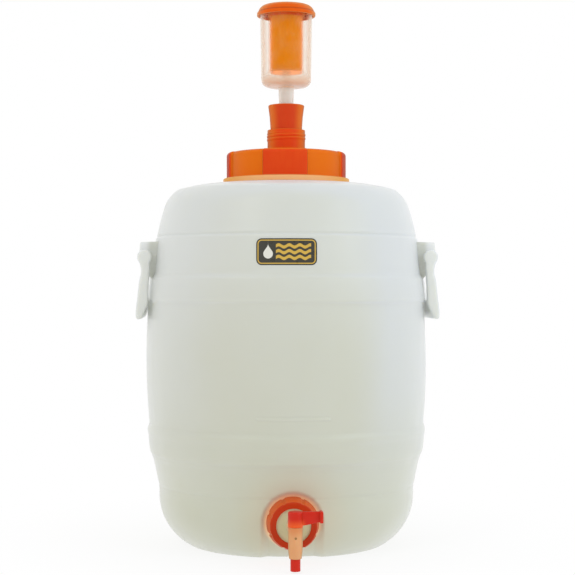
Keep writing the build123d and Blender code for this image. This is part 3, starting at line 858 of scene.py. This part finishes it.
class Shader:
    """Builds one node material with short calls."""

    def __init__(self, name):
        self.material = bpy.data.materials.new(name)
        self.material.use_nodes = True
        self.tree = self.material.node_tree
        self.tree.nodes.clear()
        self.output = self.tree.nodes.new("ShaderNodeOutputMaterial")
        self.coords = self.tree.nodes.new("ShaderNodeTexCoord").outputs["Object"]

    def node(self, kind, inputs, **settings):
        """A new node; an input is linked if it is an output of another node, and set otherwise."""
        node = self.tree.nodes.new("ShaderNode" + kind)
        for key, value in settings.items():
            setattr(node, key, value)
        for key, value in inputs.items():
            socket = node.inputs[key]
            if isinstance(value, bpy.types.NodeSocket):
                self.tree.links.new(value, socket)
            else:
                socket.default_value = value
        return node

    def math(self, operation, a, b=0.0):
        return self.node("Math", {0: a, 1: b}, operation=operation).outputs[0]

    times = partialmethod(math, "MULTIPLY")
    plus = partialmethod(math, "ADD")
    minus = partialmethod(math, "SUBTRACT")
    larger = partialmethod(math, "MAXIMUM")
    smaller = partialmethod(math, "MINIMUM")

    def away_from(self, a, b=0.0):
        """Unsigned difference of two values."""
        return self.math("ABSOLUTE", a if b == 0.0 else self.minus(a, b))

    def noise(self, scale, detail=3.0, roughness=0.5, stretch=None):
        place = self.coords
        if stretch is not None:
            place = self.node("Mapping", {"Vector": place, "Scale": stretch}).outputs[0]
        inputs = {"Vector": place, "Scale": scale, "Detail": detail, "Roughness": roughness}
        return self.node("TexNoise", inputs).outputs["Fac"]

    def ramp(self, value, low, high, to_low=0.0, to_high=1.0):
        inputs = {"Value": value, "From Min": low, "From Max": high, "To Min": to_low, "To Max": to_high}
        return self.node("MapRange", inputs, interpolation_type="SMOOTHSTEP").outputs[0]

    def fade(self, value, low, high, start=1.0):
        """A ramp that falls from its start to 0."""
        return self.ramp(value, low, high, start, 0.0)

    def mix(self, factor, a, b):
        return self.node("Mix", {0: factor, 6: a, 7: b}, data_type="RGBA").outputs[2]

    def facing(self, blend):
        return self.node("LayerWeight", {"Blend": blend}).outputs["Facing"]

    def position(self):
        """Outputs x, y and z of the point in the object, in metres."""
        return self.node("SeparateXYZ", {0: self.coords}).outputs

    def radius(self, a, b):
        return self.math("SQRT", self.plus(self.times(a, a), self.times(b, b)))

    def bump(self, value, distance, strength=1.0, below=None):
        inputs = {"Height": value, "Distance": distance, "Strength": strength}
        if below is not None:
            inputs["Normal"] = below
        return self.node("Bump", inputs).outputs[0]

    def principled(self, **inputs):
        names = {key.replace("_", " "): value for key, value in inputs.items()}
        return self.node("BsdfPrincipled", names).outputs[0]

    def finish(self, surface):
        self.tree.links.new(surface, self.output.inputs["Surface"])
        return self.material


def natural_plastic(name, low, middle, high, edge, is_tank):
    """Milky polyethylene: cloudy colour with painted shade towards the bottom, painted light on the edges
    that turn away and a bluish painted light on the grazing sides, an orange-peel skin and scuffs.

    A weak glow stands in for the daylight that comes through the wall. The tank also gets painted orange
    light near the lid and around the tap's nut, and painted light on its handle lugs.
    """
    s = Shader(name)
    x, y, z = s.position()
    cloud = s.noise(9.0, 4.0)
    # painted shade: low, middle and high darken the colour towards the bottom, for light from above
    colour = s.mix(s.ramp(z, 0.02, 0.2), low, middle)
    colour = s.mix(s.ramp(z, 0.20, 0.36), colour, high)
    colour = s.mix(s.ramp(cloud, 0.3, 0.7, 0.0, 0.2), colour, high)
    # painted light: a bluish tint where the wall turns away, stronger on the right side
    painted_cool_light = s.times(s.ramp(s.facing(0.4), 0.06, 0.3), s.ramp(x, -0.14, 0.14, 0.22, 0.45))
    painted_cool_light = s.times(painted_cool_light, s.ramp(z, 0.03, 0.22, 0.1, 1.0))
    colour = s.mix(painted_cool_light, colour, PAINTED_COOL_SIDE_LIGHT)
    # painted light: the colour turns to edge where the wall turns away from the camera
    colour = s.mix(s.ramp(s.facing(0.4), 0.25, 1.0, 0.0, 0.55), colour, edge)
    glow = SHINE_THROUGH
    if is_tank:
        # painted light: an orange glow from the lid on the tank's top around the neck
        lid_glow_share = s.times(s.fade(s.radius(x, y), 0.070, 0.094, 0.3), s.ramp(z, 0.395, 0.41))
        colour = s.mix(lid_glow_share, colour, LID_GLOW)
        in_front = s.fade(y, -0.13, -0.10)
        to_nut = s.radius(x, s.minus(z, PORT_Z * MM))
        # painted light: a paler ring around the nut that also glows, against the shade of the recess
        nut_glow_share = s.times(s.fade(to_nut, 0.0285, 0.0335, 0.8), in_front)
        # painted light: a wide peach glow from the tap on the wall around the nut
        tap_glow_share = s.times(s.fade(to_nut, 0.03, 0.075, 0.16), in_front)
        colour = s.mix(tap_glow_share, colour, TAP_GLOW)
        colour = s.mix(nut_glow_share, colour, NUT_GLOW)
        # painted light: the handle lugs take the painted edge light and glow, against the shade between arm
        # and tank
        lug = s.times(s.ramp(s.away_from(x), 0.157, 0.164), s.ramp(z, 0.296, 0.312))
        lug = s.times(lug, s.fade(z, 0.350, 0.353))
        colour = s.mix(lug, colour, edge)
        glow = s.plus(s.times(lug, 0.12), SHINE_THROUGH)
        glow = s.plus(s.times(nut_glow_share, 0.3), glow)
    skin = s.noise(900.0, 2.0)
    waves = s.noise(28.0, 2.0)
    normal = s.bump(waves, 0.0012, 0.35)
    normal = s.bump(skin, 0.00008, 0.5, normal)
    if is_tank:
        seam = s.fade(s.away_from(y), 0.0, 0.0012)
        normal = s.bump(seam, 0.0004, 0.6, normal)
    scuff = s.noise(60.0, 5.0, 0.7, (1.0, 1.0, 0.25))
    rough = s.ramp(scuff, 0.35, 0.75, 0.33, 0.5)
    return s.finish(s.principled(
        Base_Color=colour, Roughness=rough, Normal=normal, IOR=1.5, Specular_IOR_Level=0.35,
        Subsurface_Weight=0.3, Subsurface_Radius=(1.0, 0.95, 0.75), Subsurface_Scale=0.008,
        Emission_Color=colour, Emission_Strength=glow,
    ))


def moulded(s, colour, rough, gloss=0.2, ripple=0.00005, glow=0.1, veil=None):
    """Skin of a coloured moulding over any base colour, with a weak glow as painted light; a veil makes its
    edges fade.
    """
    normal = s.bump(s.noise(70.0, 2.0), 0.0003, 0.4)
    normal = s.bump(s.noise(1400.0, 2.0), ripple, 0.5, normal)
    worn = s.noise(120.0, 5.0, 0.7)
    inputs = {} if veil is None else {"Alpha": veil}
    return s.finish(s.principled(
        Base_Color=colour, Roughness=s.ramp(worn, 0.35, 0.75, rough, rough + 0.14), Normal=normal,
        Specular_IOR_Level=gloss, Subsurface_Weight=0.15, Subsurface_Radius=(1.0, 0.35, 0.1),
        Subsurface_Scale=0.003, Emission_Color=colour, Emission_Strength=glow, **inputs,
    ))


def streaks(s, deep, bright, share=0.45):
    """Two shades in long streaks."""
    flow = s.noise(38.0, 4.0, 0.6, (1.0, 1.0, 0.35))
    return s.mix(s.ramp(flow, 0.3, 0.72, 0.0, share), deep, bright)


def flow_marks(s, deep, bright, edge):
    """Two shades in long streaks, and painted edge shading in a third shade where the surface turns away.
    """
    return s.mix(s.ramp(s.facing(0.5), 0.22, 0.88, 0.0, 0.92), streaks(s, deep, bright), edge)


def pale_silicone(name):
    """Off-white rubber of the two seals."""
    s = Shader(name)
    # the third shade is painted light where the seal turns away
    return moulded(s, flow_marks(s, srgb(226, 224, 214), srgb(232, 230, 222), srgb(238, 236, 230)), 0.55)


def lid_plastic(name):
    """Orange plastic, redder on the thick lobes and lighter where light comes through thin walls."""
    s = Shader(name)
    x, y, z = s.position()
    across = s.radius(x, y)
    colour = streaks(s, LID_RED, LID_FLOW, 0.5)
    thin = s.times(s.fade(across, 0.0681, 0.0700), s.ramp(across, 0.050, 0.060))
    colour = s.mix(s.times(thin, 0.9), colour, LID_ORANGE)
    on_spout = s.fade(across, 0.025, 0.03)
    foot = s.times(on_spout, s.fade(z, LID_TOP * MM, (LID_TOP + 8) * MM, 0.7))
    colour = s.mix(foot, colour, LID_ORANGE)
    # painted shade: a dark line in the crease where a lobe's flank meets the gap
    crease_shade = s.fade(s.away_from(across, LID_CREASE_R * MM), 0.0, 0.0004, 0.5)
    crease_shade = s.times(crease_shade, s.ramp(z, 0.428, 0.429))
    colour = s.mix(s.times(crease_shade, s.ramp(z, 0.453, 0.452)), colour, LID_CREASE_SHADE)
    facing = s.facing(0.5)
    # painted light: the spout is lighter orange except where it faces the camera
    colour = s.mix(s.times(on_spout, s.ramp(facing, 0.05, 0.38, 0.0, 0.8)), colour, SPOUT_SIDE_LIGHT)
    # painted shade: darker red and brown where the lid turns away from the camera
    edge = s.mix(thin, LOBE_EDGE_SHADE, LID_EDGE_SHADE)
    edge = s.mix(on_spout, edge, BROWN_EDGE_SHADE)
    colour = s.mix(s.ramp(facing, 0.3, 0.85, 0.0, 0.85), colour, edge)
    top = (lid_low[2] + FLANGE_HEIGHT) * MM
    # painted light: the thin flange is pale peach, with painted darker orange shade where it turns away
    flange = s.fade(z, top - 0.001, top + 0.0016)
    peach = s.mix(s.ramp(s.facing(0.5), 0.05, 0.6), LID_FLANGE_LIGHT, LID_FLANGE_SIDE_SHADE)
    colour = s.mix(s.times(flange, 0.95), colour, peach)
    return moulded(s, colour, 0.4, gloss=0.08, glow=0.08)


def rubber_orange(name):
    """Red rubber, with painted light that turns it orange at its sides and painted brown shade at its very
    edge.
    """
    s = Shader(name)
    colour = flow_marks(s, srgb(204, 60, 20), srgb(208, 74, 24), BROWN_EDGE_SHADE)
    # painted light on the sides, between the front and the very edge
    side = s.ramp(s.facing(0.5), 0.05, 0.4, 0.0, 0.8)
    centre = s.fade(s.facing(0.5), 0.5, 0.9)
    return moulded(s, s.mix(s.times(side, centre), colour, SPOUT_SIDE_LIGHT), 0.5, 0.13, 0.0001, 0.06)


def airlock_orange(name):
    """Red-orange cap over a thinner orange bell whose sides fade into the cloudy cup."""
    s = Shader(name)
    x, y, z = s.position()
    # the third shades are painted edge shading: darker brown on the cap, lighter on the bell
    cap = flow_marks(s, srgb(218, 88, 10), srgb(226, 104, 14), srgb(204, 136, 74))
    bell = flow_marks(s, srgb(212, 122, 0), srgb(220, 134, 0), srgb(236, 176, 112))
    on_bell = s.fade(z, (BELL_END_Z - 1) * MM, (BELL_END_Z + 1) * MM)
    # painted light: the bell's inner wall is paler and glows more
    inside = s.fade(s.radius(x, y), (BELL_R - 1.9) * MM, (BELL_R - 1.2) * MM)
    bell = s.mix(inside, bell, srgb(238, 168, 104))
    # painted shade: a dark red band on the cap's brim
    brim_shade = s.fade(s.away_from(z, BRIM_Z * MM), 0.0, 0.0015, 0.8)
    colour = s.mix(on_bell, s.mix(brim_shade, cap, srgb(170, 62, 8)), bell)
    fade = s.times(s.ramp(s.facing(0.5), 0.18, 0.72, 0.0, 0.88), on_bell)
    # painted light: the bell glows, and the whole moulding a little
    glow = s.times(s.plus(s.times(inside, 0.3), 0.14), on_bell)
    glow = s.plus(glow, 0.09)
    return moulded(s, colour, 0.42, gloss=0.08, glow=glow, veil=s.minus(1.0, fade))


def nut_plastic(name):
    """One orange plastic, painted as lit bright orange on its flanks and with painted shade as a darker red
    front ring.
    """
    s = Shader(name)
    x, y, z = s.position()
    # painted light and shade: a lit orange copy for the flanks and a shaded red copy for the front ring
    flank = flow_marks(s, srgb(214, 84, 22), srgb(224, 102, 28), srgb(190, 84, 34))
    ring = flow_marks(s, srgb(180, 50, 14), srgb(192, 60, 18), srgb(186, 66, 24))
    front = -nut_low[1] * MM
    colour = s.mix(s.ramp(s.times(y, -1.0), front - 0.003, front - 0.0012), flank, ring)
    # painted light: the nut glows more towards its top
    return moulded(s, colour, 0.36, gloss=0.14, glow=s.ramp(z, 0.03, 0.07, 0.0, 0.14))


def lever_plastic(name):
    """Red lever; the hub is lighter where it meets the barrel."""
    s = Shader(name)
    x, y, z = s.position()
    # the third shade is painted shade where the lever turns away
    red = flow_marks(s, srgb(196, 34, 16), srgb(199, 44, 20), srgb(178, 40, 22))
    on_hub = s.times(s.fade(x, 0.007, 0.012), s.fade(z, 0.049, 0.058, 0.9))
    on_hub = s.times(on_hub, s.ramp(z, 0.04, 0.045))
    return moulded(s, s.mix(on_hub, red, srgb(226, 92, 34)), 0.34)


def tap_plastic(name):
    """Pale greenish flange disc and a peach barrel with a darker mark at its gate."""
    s = Shader(name)
    x, y, z = s.position()
    # the third shade of each is painted edge shading where the surface turns away
    barrel = flow_marks(s, srgb(216, 152, 102), srgb(226, 178, 130), srgb(176, 134, 84))
    disc = flow_marks(s, srgb(198, 192, 152), srgb(208, 202, 168), srgb(214, 190, 150))
    colour = s.mix(s.ramp(y, -0.180, -0.170), barrel, disc)
    gate = (0, (BARREL_Y - BARREL_R) * MM, GATE_Z * MM)
    from_gate = s.node("VectorMath", {0: s.coords, 1: gate}, operation="DISTANCE").outputs[1]
    colour = s.mix(s.fade(from_gate, 0.001, 0.0016, 0.9), colour, srgb(140, 106, 60))
    top = s.ramp(z, 0.036, 0.047, 0.0, 0.5)
    near_hub = s.times(top, s.fade(y, -0.188, -0.184))
    return moulded(s, s.mix(near_hub, colour, srgb(206, 110, 46)), 0.36, glow=0.05)


def cloudy_plastic(name):
    """Thin polypropylene with a frosted veil that thickens towards the edges and on the stem."""
    s = Shader(name)
    x, y, z = s.position()
    facing = s.facing(0.5)
    edge = s.ramp(facing, 0.25, 1.0, 0.03, 0.85)
    across = s.radius(x, y)
    outside = s.ramp(z, (CUP_FLOOR + 9) * MM, cup_high[2] * MM, CUP_SIDE_R * MM, CUP_R * MM)
    lining = s.ramp(s.minus(outside, across), 0.0005, 0.0009, 1.0, 0.35)
    edge = s.times(edge, lining)
    veil = s.plus(edge, s.ramp(s.noise(60.0, 3.0), 0.3, 0.7, -0.02, 0.03))
    floor = CUP_FLOOR * MM
    low = s.fade(z, floor + 0.004, floor + 0.022, 0.45)
    stem = s.fade(z, floor - 0.002, floor, 0.62)
    riser = s.times(s.fade(across, 0.0064, 0.0072), s.ramp(z, floor, floor + 0.003))
    veil = s.larger(veil, s.larger(low, stem))
    veil = s.times(veil, s.minus(1.0, s.times(riser, 0.8)))
    # painted light: peach where the cup faces the camera, for the orange bell inside
    tint = s.mix(s.ramp(facing, 0.3, 0.85), srgb(234, 196, 160), srgb(226, 222, 210))
    # painted shade: darker at the very edge
    tint = s.mix(s.ramp(facing, 0.8, 0.98, 0.0, 0.6), tint, srgb(188, 190, 180))
    # painted light: a peach tint towards the floor, for orange light reflected inside the cup
    tint = s.mix(s.fade(z, floor + 0.006, floor + 0.03, 0.6), tint, srgb(216, 186, 160))
    tint = s.mix(s.fade(z, floor - 0.003, floor), tint, srgb(226, 222, 214))
    clear = s.node("BsdfTransparent", {"Color": (0.98, 0.97, 0.95, 1)}).outputs[0]
    # painted light: the milky part glows weakly
    milky = s.principled(
        Base_Color=tint, Roughness=0.22, Normal=s.bump(s.noise(160.0), 0.0002, 0.3),
        Subsurface_Weight=0.3, Subsurface_Radius=(1.0, 0.9, 0.8), Subsurface_Scale=0.003,
        Emission_Color=tint, Emission_Strength=0.1,
    )
    return s.finish(s.node("MixShader", {0: veil, 1: clear, 2: milky}).outputs[0])


def sticker(name):
    """Printed film: dark field, gold border line, and a pale drop beside three gold waves."""
    s = Shader(name)
    uv = s.node("UVMap", {}, uv_map="print").outputs[0]
    u, v, _ = s.node("SeparateXYZ", {0: uv}).outputs

    def box_distance(half_w, half_h, corner):
        dx = s.minus(s.away_from(u), half_w - corner)
        dy = s.minus(s.away_from(v), half_h - corner)
        ox, oy = s.larger(dx, 0.0), s.larger(dy, 0.0)
        inside = s.smaller(s.larger(dx, dy), 0.0)
        return s.minus(s.plus(s.radius(ox, oy), inside), corner)

    def filled(distance, softness=0.12):
        return s.fade(distance, -softness, softness)

    rim = box_distance(LABEL_HALF_W, LABEL_HALF_H, LABEL_CORNER)
    line = s.minus(s.away_from(s.plus(rim, 2.0)), 0.55)
    shifted = s.plus(u, 20.0)
    narrow = s.minus(1.0, s.ramp(v, -2.2, 8.5))
    belly = s.times(narrow, 5.2)
    low = s.plus(v, 2.2)
    upper = s.minus(s.away_from(shifted), belly)
    upper = s.larger(upper, s.times(low, -1.0))
    drop = s.smaller(s.minus(s.radius(shifted, low), 5.2), upper)
    swell = s.times(s.math("SINE", s.times(u, 0.55)), 1.2)
    level = s.minus(v, swell)
    wave = s.smaller(s.away_from(level, 6.2), s.away_from(level))
    wave = s.smaller(wave, s.away_from(s.plus(level, 6.2)))
    sides = s.minus(s.away_from(u, 7.5), 19.0)
    wave = s.larger(s.minus(wave, 1.7), sides)
    ink = s.mix(s.noise(300.0), srgb(52, 50, 40), srgb(62, 59, 48))
    gold = s.mix(s.noise(220.0), srgb(206, 166, 62), srgb(214, 176, 76))
    colour = s.mix(filled(line), ink, gold)
    colour = s.mix(filled(wave), colour, gold)
    colour = s.mix(filled(drop), colour, srgb(226, 224, 212))
    normal = s.bump(s.noise(90.0, 3.0), 0.0002, 0.35)
    return s.finish(s.principled(
        Base_Color=colour, Roughness=s.ramp(s.noise(70.0, 4.0), 0.3, 0.7, 0.26, 0.42), Normal=normal,
        Coat_Weight=0.15, Coat_Roughness=0.2,
    ))


def paint(piece, material):
    """Give the piece this material alone."""
    piece.data.materials.clear()
    piece.data.materials.append(material)


# ---- build ----
seal_rubber = pale_silicone("seal_rubber")
# low, middle and high are painted shade that darkens the tank towards its bottom; edge is painted light
# where the wall turns away
milk = natural_plastic(
    "natural_plastic", low=srgb(192, 193, 173), middle=srgb(198, 199, 184), high=srgb(206, 208, 200),
    edge=srgb(217, 219, 218), is_tank=True,
)
# the handles get painted light at their edges and barely any painted shade from bottom to top
milk_grip = natural_plastic(
    "handle_plastic", low=srgb(216, 218, 212), middle=srgb(216, 218, 212), high=srgb(219, 221, 216),
    edge=srgb(230, 232, 231), is_tank=False,
)

paint(make_tank(), milk)
paint(make_lid(), lid_plastic("lid_plastic"))
paint(make_lid_seal(), seal_rubber)
paint(make_bung(), rubber_orange("orange_rubber"))
paint(make_airlock_cup(), cloudy_plastic("cloudy_plastic"))
paint(make_airlock_cap(), airlock_orange("airlock_orange"))
paint(make_label(), sticker("sticker"))
paint(make_tap_gasket(), seal_rubber)
paint(make_tap_body(), tap_plastic("tap_plastic"))
paint(make_tap_plug(), lever_plastic("lever_plastic"))
paint(make_tap_nut(), nut_plastic("nut_plastic"))
paint(make_handle(1, "handle_right"), milk_grip)
paint(make_handle(-1, "handle_left"), milk_grip)


# ---- floor, light and camera ----
FRONT_LIGHT = 0.57
BACK_LIGHT = 1.04


def make_floor():
    """A pale floor that fades into the white background away from the keg."""
    bpy.ops.mesh.primitive_plane_add(size=12)
    floor = bpy.context.object
    floor.name = "floor"
    s = Shader("floor")
    distance = s.node("VectorMath", {0: s.coords}, operation="LENGTH").outputs[1]
    pale = s.principled(Base_Color=(0.93, 0.93, 0.92, 1), Roughness=0.7)
    white = s.node("Emission", {"Color": (1, 1, 1, 1), "Strength": 1.0}).outputs[0]
    fade = s.ramp(distance, 0.12, 0.45, 0.82, 1.0)
    floor.data.materials.append(s.finish(s.node("MixShader", {0: fade, 1: pale, 2: white}).outputs[0]))


def add_area(name, place, target, size, power, colour=(1, 1, 1)):
    """A round lamp that points at the target."""
    light = bpy.data.lights.new(name, "AREA")
    light.shape = "DISK"
    light.size = size
    light.energy = power
    light.color = colour
    lamp = add_object(name, light)
    lamp.location = place
    lamp.rotation_euler = (Vector(target) - Vector(place)).to_track_quat("-Z", "Y").to_euler()


def light_scene():
    """A white studio that is dimmer on the camera's side, and two soft lamps."""
    world = bpy.data.worlds.new("studio")
    bpy.context.scene.world = world
    world.use_nodes = True
    nodes, links = world.node_tree.nodes, world.node_tree.links
    toward = nodes.new("ShaderNodeSeparateXYZ")
    links.new(nodes.new("ShaderNodeTexCoord").outputs["Generated"], toward.inputs[0])
    dim = nodes.new("ShaderNodeMapRange")
    dim.interpolation_type = "SMOOTHSTEP"
    links.new(toward.outputs["Y"], dim.inputs["Value"])
    limits = {"From Min": -0.9, "From Max": 0.2, "To Min": FRONT_LIGHT, "To Max": BACK_LIGHT}
    for key, value in limits.items():
        dim.inputs[key].default_value = value
    seen = nodes.new("ShaderNodeMix")
    links.new(nodes.new("ShaderNodeLightPath").outputs["Is Camera Ray"], seen.inputs[0])
    links.new(dim.outputs[0], seen.inputs[2])
    seen.inputs[3].default_value = 1.0
    nodes["Background"].inputs[0].default_value = (1, 1, 1, 1)
    links.new(seen.outputs[0], nodes["Background"].inputs[1])
    add_area("key", (-1.6, -2.0, 2.2), (0, 0, 0.3), 1.4, 14)
    add_area("fill", (2.0, -1.6, 1.4), (0, 0, 0.3), 1.6, 17, (0.8, 0.91, 1.0))
    bpy.context.scene.view_settings.view_transform = "Standard"


def add_camera():
    """Level camera, a little to the left of the front."""
    distance, eye, azimuth = 1.7, 0.2977, math.radians(-2.75)
    camera = bpy.data.cameras.new("camera")
    camera.sensor_width = 36
    camera.lens = 89.9
    camera.shift_x = 0.0022
    camera.shift_y = 0.0012
    shot = add_object("camera", camera)
    shot.location = (distance * math.sin(azimuth), -distance * math.cos(azimuth), eye)
    shot.rotation_euler = (math.pi / 2, 0, azimuth)
    bpy.context.scene.camera = shot


make_floor()
light_scene()
add_camera()
